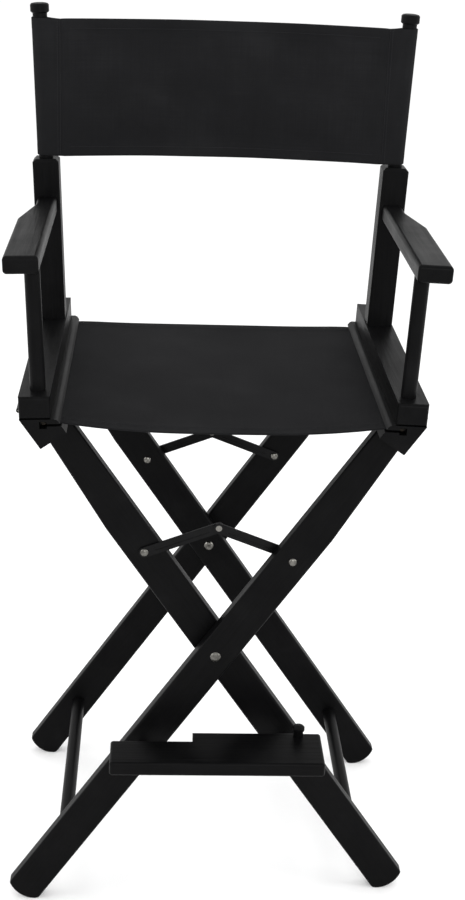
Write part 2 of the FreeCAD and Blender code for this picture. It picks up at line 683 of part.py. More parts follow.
def hinge_leaf(name, up, axis, knuckles):
    """One leaf with its knuckles, its middle on the hinge station."""
    body = new_body(name)
    profile = sketch_on(body, f"{name}_plate", "XZ_Plane", "hinge_length / 2")
    add_outline(profile, [
        ("-hinge_plate", f"{up} * hinge_tab"), ("0", f"{up} * hinge_tab"),
        ("0", f"{up} * hinge_leaf"), ("-hinge_plate", f"{up} * hinge_leaf")])
    extrude(body, f"{name}_leaf", profile, "hinge_length", True)
    for number, (start, length) in enumerate(knuckles, start=1):
        tab = sketch_on(body, f"{name}_tab_{number}", "XZ_Plane", start)
        add_outline(tab, [
            ("-hinge_plate", f"{axis[1]}"), ("-0.35", f"{axis[1]}"),
            ("-0.35", f"{up} * (hinge_tab + 1)"),
            ("-hinge_plate", f"{up} * (hinge_tab + 1)")])
        extrude(body, f"{name}_tab_bar_{number}", tab, length, True)
        barrel = sketch_on(body, f"{name}_barrel_{number}", "XZ_Plane", start)
        add_circle(barrel, axis, "hinge_barrel")
        extrude(body, f"{name}_knuckle_{number}", barrel, length, True)
    bore = sketch_on(body, f"{name}_bore", "XZ_Plane", "hinge_length / 2 + 1")
    add_circle(bore, axis, BARREL_HOLE)
    cut(body, f"{name}_bore_cut", bore, "hinge_length + 2")
    holes = sketch_on(body, f"{name}_holes", "YZ_Plane")
    for way in ("-", ""):
        add_circle(holes, (f"{way}screw_spread", f"{up} * ({SCREW_RISE})"),
                   "screw_diameter + 2 * wood_fit")
    cut(body, f"{name}_holes_cut", holes, "hinge_plate")
    return body


def front_and_rear(name, body, frame):
    """Places a hinge piece at the front station and mirrors it to the rear."""
    station = FreeCAD.Placement(
        FreeCAD.Vector(0, -value("hinge_station"), 0), FreeCAD.Rotation())
    body.Placement = frame.multiply(station).multiply(body.Placement)
    rear = mirrored(f"{name}_rear", body, Y_AXIS)
    return both_sides(grouped(f"{name}_left", [body, rear]), name)


upper_leaf = hinge_leaf("arm_hinge_leaf_front", 1, ("-hinge_offset", "0"), [
    ("hinge_length / 2", f"hinge_length / 2 - {KNUCKLE_SPLIT} - knuckle_gap"),
    (f"-{KNUCKLE_SPLIT} - knuckle_gap", f"hinge_length / 2 - {KNUCKLE_SPLIT} - knuckle_gap")])
front_and_rear("arm_hinge_leaf", upper_leaf, ARM_LEFT)
lower_axis = (f"-hinge_offset * cos{BEVEL}", f"hinge_offset * sin{BEVEL}")
lower_leaf = hinge_leaf("seat_hinge_leaf_front", -1, lower_axis,
                        [(KNUCKLE_SPLIT, f"2 * {KNUCKLE_SPLIT}")])
front_and_rear("seat_hinge_leaf", lower_leaf, RAIL_LEFT)

hinge_pin = rod("hinge_pin_front", "hinge_pin", "hinge_length", "0.4")
hinge_pin.Placement = FreeCAD.Placement(
    FreeCAD.Vector(-value("hinge_offset"), value("hinge_length / 2"), 0), FORWARDS)
front_and_rear("hinge_pins", hinge_pin, ARM_LEFT)


def hinge_screws(name, up, frame):
    """Four screws through the leaves of one rail."""
    outwards = FreeCAD.Rotation(Y_AXIS, -90)
    made = []
    for number, way in enumerate((-1, 1)):
        screw = domed_pin(f"{name}_{number}", "screw_diameter",
                          "screw_length + hinge_plate", "screw_head", "screw_dome")
        spot = FreeCAD.Vector(-value("hinge_plate"),
                              -value("hinge_station") + way * value("screw_spread"),
                              up * value(SCREW_RISE))
        screw.Placement = frame.multiply(FreeCAD.Placement(spot, outwards))
        made.append(screw)
        made.append(mirrored(f"{name}_{number}_rear", screw, Y_AXIS))
    return both_sides(grouped(f"{name}_left", made), name)


hinge_screws("arm_hinge_screws", 1, ARM_LEFT)
hinge_screws("seat_hinge_screws", -1, RAIL_LEFT)

# ---------------------------------------------------------------- leg pivots
# The front crossing has the outer leg in front, the rear crossing the inner.
pivot_height = value("pivot_height")
STACK = "2 * leg_thickness + leg_gap"


def pivot(stem, front_face):
    """Bolt, washer and nut of one crossing, front face first."""
    bolt = domed_pin(f"{stem}_pivot_bolt", "bolt_diameter", f"{STACK} + nut_height - 1.5",
                     "bolt_head", "head_height")
    bolt.Placement = FreeCAD.Placement(
        FreeCAD.Vector(0, front_face, pivot_height), FORWARDS)
    keep(bolt)
    washer = ring(f"{stem}_pivot_washer", "washer_diameter",
                  "bolt_diameter + 2 * running_fit", "leg_gap")
    washer.Placement = FreeCAD.Placement(
        FreeCAD.Vector(0, front_face + value("leg_thickness + leg_gap"), pivot_height),
        FORWARDS)
    keep(washer)
    nut = turned(f"{stem}_pivot_nut", [
        ("bolt_diameter / 2 + 0.02", "0"), ("nut_diameter / 2", "0"),
        ("nut_diameter / 2", "-nut_height * 0.55"),
        ("nut_diameter / 4", "-nut_height"), ("0", "-nut_height"),
        ("0", "-nut_height + 1.2"), ("bolt_diameter / 2 + 0.02", "-nut_height + 1.2")])
    nut.Placement = FreeCAD.Placement(
        FreeCAD.Vector(0, front_face + value(STACK), pivot_height), FORWARDS)
    keep(nut)


pivot("front", -outer_face)
pivot("rear", inner_face - value("leg_thickness"))

# ---------------------------------------------------------------- braces
brace_drop = value("brace_arm")
rivet_across = brace_drop * math.sin(angle)
rivet_height = pivot_height + brace_drop * math.cos(angle)
brace_rise = value("brace_rise")
brace_peak = rivet_height + value("brace_bar") * math.sin(math.radians(brace_rise))


def brace_bar(name, side, back_face):
    """Flat bar from its leg rivet to the middle rivet, round at both ends."""
    body = new_body(name)
    strip = sketch_on(body, f"{name}_strip", "XZ_Plane")
    add_outline(strip, [
        ("0", "-brace_width / 2"), ("brace_bar", "-brace_width / 2"),
        ("brace_bar", "brace_width / 2"), ("0", "brace_width / 2")])
    extrude(body, f"{name}_flat", strip, "brace_thickness")
    for number, centre in enumerate(("0", "brace_bar")):
        eye = sketch_on(body, f"{name}_eye_{number}", "XZ_Plane")
        add_circle(eye, (centre, "0"), "brace_width")
        extrude(body, f"{name}_end_{number}", eye, "brace_thickness")
    holes = sketch_on(body, f"{name}_holes", "XZ_Plane", "brace_thickness")
    for centre in ("0", "brace_bar"):
        add_circle(holes, (centre, "0"), "rivet_diameter + 2 * running_fit")
    cut(body, f"{name}_holes_cut", holes, "brace_thickness")
    # the pressed groove that stiffens the bar
    groove = sketch_on(body, f"{name}_groove", "XZ_Plane", "brace_thickness")
    add_outline(groove, [
        ("brace_width", "-bar_groove / 2"),
        ("brace_bar - brace_width", "-bar_groove / 2"),
        ("brace_bar - brace_width", "bar_groove / 2"),
        ("brace_width", "bar_groove / 2")])
    cut(body, f"{name}_groove_cut", groove, "brace_thickness * 0.3")
    turn = -brace_rise if side < 0 else -(180 - brace_rise)
    body.Placement = FreeCAD.Placement(
        FreeCAD.Vector(side * rivet_across, back_face, rivet_height),
        FreeCAD.Rotation(Y_AXIS, turn))
    return keep(body)


def rivet(name, across, height, head_face, length):
    """Domed rivet with its head on the given face, pointing backwards."""
    body = domed_pin(name, "rivet_diameter", length, "rivet_head", "head_height * 0.8")
    body.Placement = FreeCAD.Placement(
        FreeCAD.Vector(across, head_face, height), FORWARDS)
    return keep(body)


def brace(stem, near_side, front_face):
    """Two-bar brace between the two legs of one crossing, near leg's bar in front."""
    near_front = front_face + value("leg_thickness + brace_gap")
    near_back = near_front + value("brace_thickness")
    far_front = near_back + value("bar_gap")
    far_back = far_front + value("brace_thickness")
    names = {-1: "left", 1: "right"}
    near_name = names[near_side]
    far_name = names[-near_side]
    brace_bar(f"{stem}_brace_{near_name}", near_side, near_back)
    brace_bar(f"{stem}_brace_{far_name}", -near_side, far_back)
    rivet(f"{stem}_brace_rivet_{near_name}", near_side * rivet_across, rivet_height,
          front_face, "leg_thickness + brace_gap + brace_thickness")
    rivet(f"{stem}_brace_rivet_{far_name}", -near_side * rivet_across, rivet_height,
          far_front, "leg_gap - brace_gap - brace_thickness - bar_gap + leg_thickness")
    # the middle rivet stays in the front bar and ends in the play behind it
    middle_rivet = domed_pin(f"{stem}_brace_rivet_middle", "rivet_diameter",
                             "brace_thickness + bar_gap / 2",
                             "middle_head", "middle_dome")
    middle_rivet.Placement = FreeCAD.Placement(
        FreeCAD.Vector(0, near_front, brace_peak), FORWARDS)
    keep(middle_rivet)


brace("front", 1, -outer_face)
brace("rear", -1, inner_face - value("leg_thickness"))

# ---------------------------------------------------------------- footrest
board_back = -outer_face - value("footrest_clear")
board = new_body("footrest_board")
board_plan = sketch_on(board, "footrest_plan", "XY_Plane", "-footrest_thickness")
add_outline(board_plan, [
    ("-footrest_left", "-footrest_depth"), ("footrest_right", "-footrest_depth"),
    ("footrest_right", "0"), ("-footrest_step_at", "0"),
    ("-footrest_step_at", "-footrest_step"), ("-footrest_left", "-footrest_step")])
extrude(board, "footrest_plank", board_plan, "footrest_thickness")
dress(board, "Fillet", "footrest_corner",
      lambda edge: runs_along(edge, Z_AXIS) and abs(middle(edge).x) > 100)
board_front = -value("footrest_depth")
dress(board, "Fillet", "footrest_round",
      lambda edge: runs_along(edge, X_AXIS) and middle(edge).y < board_front + 1)
screws = sketch_on(board, "footrest_screw_holes", "XZ_Plane")
for way in ("-", "+"):
    add_circle(screws, (f"footrest_pivot_across {way} hanger_spread",
                        "-footrest_thickness / 2"),
               "screw_diameter + 2 * wood_fit")
cut(board, "footrest_screw_drilling", screws, "screw_length + end_play", True)
knob_hole = sketch_on(board, "footrest_knob_hole", "XY_Plane")
add_circle(knob_hole, ("knob_across", "-knob_diameter / 2"),
           "knob_diameter * 0.6 + 2 * wood_fit")
cut(board, "footrest_knob_socket", knob_hole, "knob_spigot + end_play")
board.Placement = FreeCAD.Placement(
    FreeCAD.Vector(0, board_back, value("footrest_height")), FreeCAD.Rotation())
keep(board)

hanger = new_body("footrest_hanger")
plate = sketch_on(hanger, "hanger_plate_outline", "XZ_Plane")
add_outline(plate, [
    ("-hanger_width / 2", "0"), ("hanger_width / 2", "0"),
    ("hanger_width / 2", "hanger_rise"), ("-hanger_width / 2", "hanger_rise")])
extrude(hanger, "hanger_plate_bar", plate, "hanger_plate")
crown = sketch_on(hanger, "hanger_crown", "XZ_Plane")
add_circle(crown, ("0", "0"), "hanger_width")
extrude(hanger, "hanger_crown_bar", crown, "hanger_plate")
hanger_holes = sketch_on(hanger, "hanger_holes", "XZ_Plane", "hanger_plate")
add_circle(hanger_holes, ("0", "0"), "footrest_bolt + 2 * running_fit")
for way in ("-", ""):
    add_circle(hanger_holes, (
        f"{way}hanger_spread",
        "footrest_height - footrest_thickness / 2 - footrest_pivot_height"),
        "screw_diameter + 2 * wood_fit")
cut(hanger, "hanger_holes_cut", hanger_holes, "hanger_plate")
hanger.Placement = FreeCAD.Placement(
    FreeCAD.Vector(bolt_across, board_back + value("hanger_plate"),
                   value("footrest_pivot_height")), FreeCAD.Rotation())
keep(hanger)

knob = turned("footrest_knob", [
    ("0", "-knob_spigot"), ("knob_diameter * 0.3", "-knob_spigot"),
    ("knob_diameter * 0.3", "0"),
    ("knob_diameter * 0.4", "0"), ("knob_diameter * 0.4", "knob_rise * 0.55"),
    ("knob_diameter / 2", "knob_rise * 0.6"), ("knob_diameter / 2", "knob_rise * 0.85"),
    ("knob_diameter * 0.4", "knob_rise * 0.96"), ("0", "knob_rise")])
knob.Placement = FreeCAD.Placement(
    FreeCAD.Vector(value("knob_across"), board_back - value("knob_diameter / 2"),
                   value("footrest_height")), FreeCAD.Rotation())
keep(knob)

hanger_screws = []
backwards = FreeCAD.Rotation(X_AXIS, -90)
for number, way in enumerate((-1, 1)):
    screw = domed_pin(f"hanger_screw_{number}", "screw_diameter",
                      "screw_length + hanger_plate", "screw_head * 0.85", "hanger_dome")
    screw.Placement = FreeCAD.Placement(
        FreeCAD.Vector(bolt_across + way * value("hanger_spread"),
                       board_back + value("hanger_plate"),
                       value("footrest_height - footrest_thickness / 2")), backwards)
    hanger_screws.append(screw)
keep(grouped("footrest_hanger_screws", hanger_screws))

footrest_bolt = domed_pin("footrest_pivot_bolt", "footrest_bolt",
                          "footrest_clear + 2 * leg_thickness + leg_gap",
                          "footrest_bolt_head", "head_height")
footrest_bolt.Placement = FreeCAD.Placement(
    FreeCAD.Vector(bolt_across, board_back, value("footrest_pivot_height")), FORWARDS)
keep(footrest_bolt)
SLEEVE = "leg_thickness + leg_gap + footrest_clear - hanger_plate - 0.25"
footrest_sleeve = ring("footrest_pivot_sleeve", "footrest_bolt * 2",
                       "footrest_bolt + 2 * running_fit", SLEEVE)
footrest_sleeve.Placement = FreeCAD.Placement(
    FreeCAD.Vector(bolt_across, -inner_face, value("footrest_pivot_height")), FORWARDS)
keep(footrest_sleeve)
peg = rod("footrest_peg", "peg_diameter", "peg_reach + leg_thickness - 1", "1.5")
peg.Placement = FreeCAD.Placement(
    FreeCAD.Vector(peg_across, -outer_face + value("leg_thickness - 1"), peg_height),
    FORWARDS)
keep(peg)

# ---------------------------------------------------------------- canvas
# The seat cloth runs from one hem stick through the rail slots to the other.
stick_centre = off_bevel(f"{SLOT_END} - chamber_size / 2", f"{TOP} + slot_width / 2")
stick = rod("seat_hem_stick_left", "stick_diameter", "seat_depth - 2", "0.8")
stick_spot = RAIL_LEFT.multVec(
    FreeCAD.Vector(value(stick_centre[0]), 0, value(stick_centre[1])))
stick_spot.y = value("seat_depth / 2 - 1")
stick.Placement = FreeCAD.Placement(stick_spot, FORWARDS)
both_sides(stick, "seat_hem_stick")

inside = off_bevel(f"{SLOT_END} - 0.7", f"{TOP} + slot_width / 2")
mouth = off_bevel(f"{INNER_TOP} + 7", f"{TOP} + slot_width / 2")
inside_spot = RAIL_LEFT.multVec(FreeCAD.Vector(value(inside[0]), 0, value(inside[1])))
mouth_spot = RAIL_LEFT.multVec(FreeCAD.Vector(value(mouth[0]), 0, value(mouth[1])))
seat = new_body("seat_canvas")
seat_profile = sketch_on(seat, "seat_profile", "XZ_Plane", "seat_depth / 2")
half = value("canvas_thickness / 2")
sag = value("seat_sag")
crest = [(inside_spot.x, inside_spot.z), (mouth_spot.x, mouth_spot.z)]
for share in (0.75, 0.45, 0.2):
    crest.append((mouth_spot.x * share, mouth_spot.z - sag * (1 - share ** 2)))
crest += [(-x, z) for x, z in reversed(crest)]
upper = [(repr(x), repr(z + half)) for x, z in crest]
lower = [(repr(x), repr(z - half)) for x, z in reversed(crest)]
add_outline(seat_profile, upper + lower)
extrude(seat, "seat_cloth", seat_profile, "seat_depth", True)
keep(seat)

# The back cloth is a panel with a sleeve round each upper post.
SLEEVE_BORE = "dowel_diameter + 2 * sleeve_play"
SLEEVE_OUT = f"{SLEEVE_BORE} + 2 * canvas_thickness"
sleeve = ring("back_sleeve_left_tube", SLEEVE_OUT, SLEEVE_BORE, "back_top - back_bottom")
sleeve.Placement = ARM_LEFT.multiply(FreeCAD.Placement(
    FreeCAD.Vector(value("post_across"), value(MID), value("back_bottom")),
    FreeCAD.Rotation()))
sleeve_right = mirrored("back_sleeve_right_tube", sleeve, X_AXIS)
panel = new_body("back_panel")
panel_outline = sketch_on(panel, "back_panel_outline", "XZ_Plane",
                          f"-({MID}) + ({SLEEVE_OUT}) / 2 - canvas_thickness / 2")
edge_across = value(f"post_across + ({SLEEVE_OUT}) / 2 - 6")
ends = [ARM_LEFT.multVec(FreeCAD.Vector(edge_across, 0, value(level)))
        for level in ("back_bottom", "back_top")]
add_outline(panel_outline, [
    (repr(ends[0].x), repr(ends[0].z)), (repr(-ends[0].x), repr(ends[0].z)),
    (repr(-ends[1].x), repr(ends[1].z)), (repr(ends[1].x), repr(ends[1].z))])
extrude(panel, "back_panel_cloth", panel_outline, "canvas_thickness * 1.2", True)
back = doc.addObject("Part::MultiFuse", "back_canvas")
back.Label = "back_canvas"
back.Shapes = [sleeve, panel, sleeve_right]
back.Refine = False
doc.recompute()
keep(back)

# ---------------------------------------------------------------- write
doc.recompute()
for item in doc.Objects:
    if "Invalid" in item.State or "Error" in item.State:
        raise RuntimeError(f"{item.Name} failed to build: {item.State}")
labels = [piece.Label for piece in nodes]
if len(set(labels)) != len(labels):
    raise RuntimeError("two nodes share a label")
for piece in nodes:
    if piece.Shape.isNull() or not piece.Shape.isValid() or piece.Shape.Volume <= 0:
        raise RuntimeError(f"{piece.Label} has no sound shape")
os.makedirs("parts", exist_ok=True)
centring = FreeCAD.Vector(
    0, (value("footrest_depth - rail_length / 2") - board_back) / 2, 0)
for piece in nodes:
    placed = piece.Shape.copy()
    placed.translate(centring)
    placed.exportStep(os.path.join("parts", f"{piece.Label}.step"))
print(f"{len(nodes)} nodes, moved back by {centring.y:.2f} mm")
print(f"hinge corner {corner_across:.2f}, {corner_height:.2f}")
print(f"brace rise {brace_rise:.2f} degrees, rivets {rivet_across:.2f}, {rivet_height:.2f}")
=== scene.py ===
# %% [markdown]
# # A bar-height director chair
# The chair's hard parts come finished from CAD: wooden leg frames, arm frames,
# rails, braces and fastenings.  Blender adds what CAD leaves plain: the canvas
# seat and back with their hems and stitches, and a finish for every surface.
# The CAD frame is loaded first and never changed, so that each new piece can be
# placed from it by name.

# %% Load the frame
import json
import math
import bmesh
import bpy
import numpy as np
from mathutils import Euler, Matrix, Vector


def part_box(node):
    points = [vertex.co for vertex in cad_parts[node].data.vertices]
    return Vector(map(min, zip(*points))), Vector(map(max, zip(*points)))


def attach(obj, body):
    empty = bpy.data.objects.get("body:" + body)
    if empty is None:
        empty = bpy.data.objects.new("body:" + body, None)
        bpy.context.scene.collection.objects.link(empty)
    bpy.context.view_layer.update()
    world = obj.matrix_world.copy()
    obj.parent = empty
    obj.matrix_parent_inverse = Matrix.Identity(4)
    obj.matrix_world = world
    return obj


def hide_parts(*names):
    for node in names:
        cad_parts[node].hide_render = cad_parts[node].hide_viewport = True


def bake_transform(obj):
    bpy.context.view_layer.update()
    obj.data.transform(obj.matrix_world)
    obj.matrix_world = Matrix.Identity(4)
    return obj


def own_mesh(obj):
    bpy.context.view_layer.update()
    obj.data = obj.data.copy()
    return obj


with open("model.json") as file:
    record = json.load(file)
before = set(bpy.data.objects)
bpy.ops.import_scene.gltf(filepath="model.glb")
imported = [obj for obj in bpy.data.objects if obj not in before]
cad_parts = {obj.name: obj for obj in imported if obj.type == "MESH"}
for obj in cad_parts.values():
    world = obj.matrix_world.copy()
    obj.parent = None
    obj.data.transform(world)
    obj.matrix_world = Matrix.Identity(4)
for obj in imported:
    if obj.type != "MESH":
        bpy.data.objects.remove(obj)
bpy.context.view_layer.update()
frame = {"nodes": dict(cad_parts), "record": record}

MM = 0.001
record = frame["record"]
nodes = frame["nodes"]

# %% [markdown]
# ## The camera
# A camera is a place, a direction and a lens.  The place and the three angles
# below look at the chair from a little above its seat, so that the armrests and
# the seat show their tops.  Blender's camera looks along its own -Z with +Y up,
# so the three columns of its matrix are right, up and backwards.

# %% Camera
CAMERA_PLACE = Vector((-0.0804, -1.9316, 1.3559))
CAMERA_YAW = math.radians(3.01)
CAMERA_PITCH = math.radians(21.29)
CAMERA_ROLL = math.radians(-2.09)
SENSOR_LONG_SIDE = 24.0
LENS_PER_SENSOR = 1.7158


def camera_axes(yaw, pitch, roll):
    """Right, up and backward directions of a camera that looks down by pitch."""
    ahead = Vector((math.sin(yaw) * math.cos(pitch),
                    math.cos(yaw) * math.cos(pitch), -math.sin(pitch)))
    level = Vector((math.cos(yaw), -math.sin(yaw), 0))
    down = ahead.cross(level)
    right = math.cos(roll) * level + math.sin(roll) * down
    up = math.sin(roll) * level - math.cos(roll) * down
    return right, up, -ahead


camera_data = bpy.data.cameras.new("camera")
camera_data.sensor_fit = "AUTO"
camera_data.sensor_width = SENSOR_LONG_SIDE
camera_data.lens = SENSOR_LONG_SIDE * LENS_PER_SENSOR
camera = bpy.data.objects.new("camera", camera_data)
bpy.context.scene.collection.objects.link(camera)
right, up, back = camera_axes(CAMERA_YAW, CAMERA_PITCH, CAMERA_ROLL)
camera.matrix_world = Matrix((
    (right.x, up.x, back.x, CAMERA_PLACE.x),
    (right.y, up.y, back.y, CAMERA_PLACE.y),
    (right.z, up.z, back.z, CAMERA_PLACE.z),
    (0, 0, 0, 1)))
bpy.context.scene.camera = camera
print("lens", round(camera_data.lens, 2), "mm on a", SENSOR_LONG_SIDE, "mm sensor")

# %% [markdown]
# ## Building materials with nodes
# A material is a small network.  The helpers below add a node and wire its
# inputs in one call, so that each finish further down reads like a recipe.  A
# number goes straight into the socket; a pair (node, output name) is a wire.

# %% Node helpers
SHADER_WORDS = {"roughness": "Roughness", "metallic": "Metallic",
                "specular": "Specular IOR Level", "sheen": "Sheen Weight",
                "sheen_roughness": "Sheen Roughness", "coat": "Coat Weight",
                "coat_roughness": "Coat Roughness"}


def new_finish(name, colour, **shader_values):
    """A material with a Principled shader and its plain values set."""
    material = bpy.data.materials.new(name)
    material.use_nodes = True
    material.diffuse_color = (*colour, 1)
    shader = material.node_tree.nodes["Principled BSDF"]
    shader.inputs["Base Color"].default_value = (*colour, 1)
    for word, value in shader_values.items():
        shader.inputs[SHADER_WORDS[word]].default_value = value
    return material, material.node_tree, shader


def add_node(tree, kind, settings=None, **inputs):
    """Adds a node; inputs are numbers or (node, output) wires by socket name."""
    node = tree.nodes.new(kind)
    for key, value in (settings or {}).items():
        setattr(node, key, value)
    for key, value in inputs.items():
        socket = node.inputs[int(key[1:])] if key[0] == "_" else node.inputs[key]
        if isinstance(value, tuple) and hasattr(value[0], "outputs"):
            tree.links.new(value[0].outputs[value[1]], socket)
        else:
            socket.default_value = value
    return node


def sums(tree, operation, first, second=None, third=None):
    """One Math node."""
    wires = {"_0": first}
    if second is not None:
        wires["_1"] = second
    if third is not None:
        wires["_2"] = third
    return add_node(tree, "ShaderNodeMath", {"operation": operation}, **wires), 0


def ramp(tree, value, stops):
    """Maps a value to colours at the given stops."""
    node = add_node(tree, "ShaderNodeValToRGB", Fac=value)
    elements = node.color_ramp.elements
    while len(elements) < len(stops):
        elements.new(0.5)
    for element, (place, colour) in zip(elements, stops):
        element.position = place
        element.color = (*colour, 1)
    return node, "Color"


def noise(tree, where, scale, detail=3.0, rough=0.55):
    """One Noise Texture; a larger scale makes finer noise."""
    node = add_node(tree, "ShaderNodeTexNoise", Vector=where, Scale=scale,
                    Detail=detail, Roughness=rough)
    return node, "Fac"


def bump(tree, height, strength, distance, below=None):
    """One Bump node, laid over another one when that is given."""
    wires = {"Height": height, "Strength": strength, "Distance": distance}
    if below is not None:
        wires["Normal"] = below
    return add_node(tree, "ShaderNodeBump", **wires), "Normal"


# %% [markdown]
# ## Black paint over wood
# The wood is painted black and has a satin film: the pores and the long grain
# still telegraph through it as faint ridges, the roller leaves a fine orange
# peel, and handling rubs it a little shinier in patches.  The grain has to run
# along each board, so one recipe is made once for each direction.  A Mapping
# node of type TEXTURE turns the coordinates back by the board's own tilt and
# then squeezes them across the grain.

# %% Black painted wood
GRAIN_ALONG = {"X": (0.30, 0.012, 0.012), "Y": (0.012, 0.30, 0.012),
               "Z": (0.012, 0.012, 0.30)}
LEG_TILT = 34.5


def black_paint(name, along, tilt=0.0):
    """Satin black paint whose grain runs along an axis tilted about Y."""
    material, tree, shader = new_finish(
        name, (0.0032, 0.0032, 0.0034), roughness=0.40, specular=0.05)
    place = add_node(tree, "ShaderNodeTexCoord"), "Object"
    board = add_node(tree, "ShaderNodeMapping", {"vector_type": "TEXTURE"},
                     Vector=place, Rotation=Euler((0, math.radians(tilt), 0)),
                     Scale=Vector(GRAIN_ALONG[along])), "Vector"
    grain = noise(tree, board, 1.6, 6.0, 0.62)
    pores = noise(tree, board, 5.5, 3.0, 0.7)
    peel = noise(tree, place, 950.0, 2.0)
    rubbed = noise(tree, place, 16.0, 4.0, 0.6)
    colour = ramp(tree, rubbed, [(0.30, (0.0020, 0.0020, 0.0022)),
                                 (0.58, (0.0032, 0.0032, 0.0034)),
                                 (0.80, (0.0055, 0.0055, 0.0058))])
    streaked = add_node(tree, "ShaderNodeMix",
                        {"data_type": "RGBA", "blend_type": "MULTIPLY"},
                        _0=0.55, _6=colour,
                        _7=ramp(tree, pores, [(0.32, (0.45, 0.45, 0.45)),
                                              (0.55, (1, 1, 1))]))
    tree.links.new(streaked.outputs[2], shader.inputs["Base Color"])
    gloss = sums(tree, "MULTIPLY_ADD", grain, 0.22,
                 sums(tree, "MULTIPLY_ADD", rubbed, 0.20, 0.20))
    tree.links.new(gloss[0].outputs[0], shader.inputs["Roughness"])
    ridges = bump(tree, grain, 0.34, 0.0011)
    open_pores = bump(tree, pores, 0.30, 0.0005, ridges)
    film = bump(tree, peel, 0.16, 0.00025, open_pores)
    tree.links.new(film[0].outputs[0], shader.inputs["Normal"])
    return material


paints = {
    "inner_leg": black_paint("black_paint_inner_leg", "Z", -LEG_TILT),
    "outer_leg": black_paint("black_paint_outer_leg", "Z", LEG_TILT),
    "depth": black_paint("black_paint_rail", "Y"),
    "upright": black_paint("black_paint_post", "Z"),
    "across": black_paint("black_paint_board", "X"),
}
print("paint finishes", sorted(paints))

# %% [markdown]
# ## Metal finishes
# The brace bars and hinge leaves are pressed steel in black enamel, smoother
# and a little glossier than the wood.  The bolts and rivets are nickel plated
# and have gone dull, with darker patches of tarnish.  Both finishes get their
# fine variation from noise in the roughness and a shallow bump.

# %% Black enamel
def black_enamel():
    material, tree, shader = new_finish(
        "black_enamel", (0.003, 0.003, 0.0033), roughness=0.3, specular=0.08,
        coat=0.02, coat_roughness=0.25)
    place = add_node(tree, "ShaderNodeTexCoord"), "Object"
    dust = noise(tree, place, 60.0, 5.0, 0.65)
    peel = noise(tree, place, 1400.0, 2.0)
    colour = ramp(tree, dust, [(0.35, (0.0022, 0.0022, 0.0024)),
                               (0.75, (0.0050, 0.0050, 0.0054))])
    tree.links.new(colour[0].outputs["Color"], shader.inputs["Base Color"])
    gloss = sums(tree, "MULTIPLY_ADD", dust, 0.24, 0.18)
    tree.links.new(gloss[0].outputs[0], shader.inputs["Roughness"])
    skin = bump(tree, peel, 0.2, 0.00015)
    tree.links.new(skin[0].outputs[0], shader.inputs["Normal"])
    return material


# %% Nickel plate
def nickel_plate():
    material, tree, shader = new_finish(
        "nickel_plate", (0.15, 0.15, 0.14), roughness=0.32, metallic=1.0)
    place = add_node(tree, "ShaderNodeTexCoord"), "Object"
    scratches = noise(tree, place, 420.0, 5.0, 0.7)
    tarnish = noise(tree, place, 90.0, 4.0, 0.6)
    colour = ramp(tree, tarnish, [(0.30, (0.075, 0.072, 0.066)),
                                  (0.62, (0.20, 0.195, 0.18))])
    tree.links.new(colour[0].outputs["Color"], shader.inputs["Base Color"])
    gloss = sums(tree, "MULTIPLY_ADD", scratches, 0.28, 0.12)
    tree.links.new(gloss[0].outputs[0], shader.inputs["Roughness"])
    skin = bump(tree, scratches, 0.12, 0.0002)
    tree.links.new(skin[0].outputs[0], shader.inputs["Normal"])
    return material


enamel = black_enamel()
nickel = nickel_plate()

# %% [markdown]
# ## Raw hardwood
# The two sticks that hold the seat hems inside the rails have no paint; they are
# very dark brown, and the growth rings show.  Only their ends can be seen.
# The rings are a Wave texture bent by noise, with the same stretched noise as
# before for the fibres.

# %% Raw hardwood
def raw_hardwood():
    material, tree, shader = new_finish(
        "raw_hardwood", (0.022, 0.018, 0.014), roughness=0.7, specular=0.15)
    place = add_node(tree, "ShaderNodeTexCoord"), "Object"
    board = add_node(tree, "ShaderNodeMapping", {"vector_type": "TEXTURE"},
                     Vector=place, Scale=Vector(GRAIN_ALONG["Y"])), "Vector"
    fibres = noise(tree, board, 4.0, 6.0, 0.65)
    rings = add_node(tree, "ShaderNodeTexWave", {"wave_type": "RINGS",
                     "rings_direction": "Y"}, Vector=place, Scale=95.0,
                     Distortion=3.5, Detail=3.0), "Fac"
    share = sums(tree, "MULTIPLY_ADD", fibres, 0.6,
                 sums(tree, "MULTIPLY", rings, 0.35))
    colour = ramp(tree, share, [(0.25, (0.012, 0.010, 0.008)),
                                (0.75, (0.032, 0.026, 0.020))])
    tree.links.new(colour[0].outputs["Color"], shader.inputs["Base Color"])
    skin = bump(tree, fibres, 0.4, 0.0004)
    tree.links.new(skin[0].outputs[0], shader.inputs["Normal"])
    return material


hardwood = raw_hardwood()

# %% [markdown]
# ## Black cotton canvas
# Canvas is a plain weave: each warp yarn goes over one weft yarn and under the
# next.  Two sine waves along the cloth's own UV directions, swapped on a
# checkerboard, give that over-and-under relief.  The UVs are measured in
# metres along the cloth, so the yarns keep their real size of about 0.6 mm on
# every piece.  Slub noise makes some yarns thicker and paler, and sheen gives
# the dusty edge that cotton shows at low angles.

# %% Canvas weave
YARN = 0.00062


